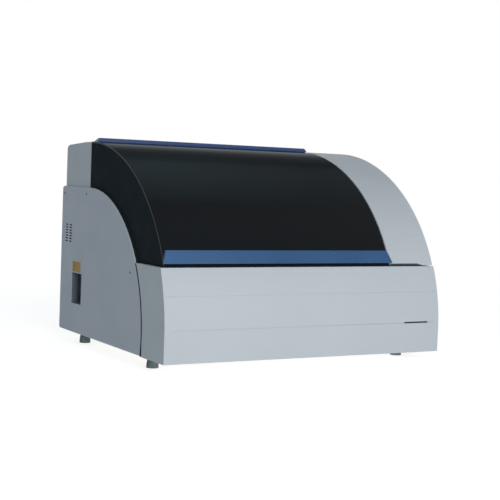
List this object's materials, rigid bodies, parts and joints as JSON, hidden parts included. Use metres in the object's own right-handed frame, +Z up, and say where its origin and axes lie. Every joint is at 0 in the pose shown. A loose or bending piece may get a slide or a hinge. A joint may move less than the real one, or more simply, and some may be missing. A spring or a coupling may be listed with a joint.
{
  "type": "benchtop chemistry analyzer",
  "caption": "Benchtop clinical chemistry analyzer with an arched dark hood that swings up over reagent, reaction and sample carousels, between grey side panels and a curved cowl.",
  "frame": {"origin": "middle of the footprint, at the level of the bench top", "axes": "+X to the right seen from the front, +Y to the back, +Z up"},
  "size_m": [0.86, 0.72, 0.596],
  "materials": {
    "cover_grey": "fine satin paint",
    "side_grey": "fine satin paint",
    "hood_dark": "glossy tinted",
    "bar_blue": "satin",
    "bright_steel": "brushed",
    "sheet_metal": "zinc grey",
    "supply_case": "satin",
    "motor_black": "satin",
    "foot_rubber": "matt",
    "black_plastic": "fine grain",
    "deck_plastic": "satin",
    "white_plastic": "satin",
    "clear_plastic": "clear moulded",
    "board_green": "solder mask"
  },
  "bodies": {
    "cabinet": {"base_pan": "sheet_metal", "foot_front_left": "foot_rubber", "foot_front_right": "foot_rubber", "foot_rear_left": "foot_rubber", "foot_rear_right": "foot_rubber", "front_fascia": "cover_grey", "status_window": "black_plastic", "left_side_panel": "side_grey", "right_side_panel": "side_grey", "power_recess": "black_plastic", "mains_inlet": "black_plastic", "chassis_left": "sheet_metal", "chassis_right": "sheet_metal", "deck_plate": "deck_plastic", "reagent_cooler": "white_plastic", "reagent_motor": "motor_black", "reaction_trough": "black_plastic", "reaction_motor": "motor_black", "photometer": "black_plastic", "sample_tub": "deck_plastic", "sample_motor": "motor_black", "probe_housing": "deck_plastic", "mixer_housing": "deck_plastic", "wash_housing": "deck_plastic", "rinse_cup": "white_plastic", "syringe_pump": "supply_case", "power_supply": "supply_case", "main_board": "board_green", "rear_panel": "sheet_metal", "fan_frame": "black_plastic", "fan_guard": "bright_steel", "connector_plate": "black_plastic", "rear_cover": "cover_grey", "right_cowl": "cover_grey", "hinge_base_left": "bright_steel", "hinge_base_right": "bright_steel"},
    "hood": {"hood_shell": "hood_dark", "hood_left_cheek": "black_plastic", "hood_right_cheek": "black_plastic", "hood_lower_bar": "bar_blue", "hood_upper_bar": "bar_blue", "hinge_leaf_left": "bright_steel", "hinge_leaf_right": "bright_steel"},
    "reagent_rotor": {"reagent_carousel": "deck_plastic", "reagent_bottles": "white_plastic"},
    "reaction_rotor": {"reaction_wheel": "supply_case", "cuvette_ring": "clear_plastic"},
    "sample_rotor": {"sample_carousel": "supply_case", "sample_tubes": "clear_plastic"},
    "probe_lift": {"probe_shaft": "bright_steel"},
    "probe_swing_arm": {"probe_arm": "white_plastic", "probe_needle": "bright_steel"},
    "mixer_lift": {"mixer_shaft": "bright_steel"},
    "mixer_swing_arm": {"mixer_arm": "white_plastic"},
    "paddle": {"mixer_paddle": "bright_steel"},
    "wash_lift": {"wash_head": "white_plastic"},
    "rocker": {"power_rocker": "black_plastic"},
    "fan_wheel": {"fan_rotor": "black_plastic"},
    "plunger": {"syringe_plunger": "white_plastic"}
  },
  "joints": [
    {"name": "hood_hinge", "type": "hinge", "parent": "cabinet", "child": "hood", "pos_m": [0, 0.172, 0.589], "axis": [-1, 0, 0], "range_deg": [0, 65]},
    {"name": "reagent_spin", "type": "hinge", "parent": "cabinet", "child": "reagent_rotor", "pos_m": [-0.28, -0.075, 0.16], "axis": [0, 0, 1], "continuous": true},
    {"name": "reaction_spin", "type": "hinge", "parent": "cabinet", "child": "reaction_rotor", "pos_m": [-0.052, -0.06, 0.23], "axis": [0, 0, 1], "continuous": true},
    {"name": "sample_spin", "type": "hinge", "parent": "cabinet", "child": "sample_rotor", "pos_m": [0.16, -0.095, 0.18], "axis": [0, 0, 1], "continuous": true},
    {"name": "probe_raise", "type": "slide", "parent": "cabinet", "child": "probe_lift", "axis": [0, 0, 1], "range_m": [-0.05, 0]},
    {"name": "probe_swing", "type": "hinge", "parent": "probe_lift", "child": "probe_swing_arm", "pos_m": [-0.052, -0.23, 0.34], "axis": [0, 0, 1], "range_deg": [-95, 95]},
    {"name": "mixer_raise", "type": "slide", "parent": "cabinet", "child": "mixer_lift", "axis": [0, 0, 1], "range_m": [-0.036, 0]},
    {"name": "mixer_swing", "type": "hinge", "parent": "mixer_lift", "child": "mixer_swing_arm", "pos_m": [0.05, 0.08, 0.318], "axis": [0, 0, 1], "range_deg": [-60, 20]},
    {"name": "paddle_spin", "type": "hinge", "parent": "mixer_swing_arm", "child": "paddle", "pos_m": [0.05, -0.02, 0.3], "axis": [0, 0, 1], "continuous": true},
    {"name": "wash_raise", "type": "slide", "parent": "cabinet", "child": "wash_lift", "axis": [0, 0, 1], "range_m": [-0.024, 0]},
    {"name": "rocker_tilt", "type": "hinge", "parent": "cabinet", "child": "rocker", "pos_m": [-0.4061, 0.221, 0.181], "axis": [0, 1, 0], "range_deg": [-6, 6]},
    {"name": "fan_spin", "type": "hinge", "parent": "cabinet", "child": "fan_wheel", "pos_m": [0.21, 0.334, 0.25], "axis": [0, 1, 0], "continuous": true},
    {"name": "plunger_draw", "type": "slide", "parent": "cabinet", "child": "plunger", "axis": [0, 0, 1], "range_m": [-0.03, 0]}
  ]
}
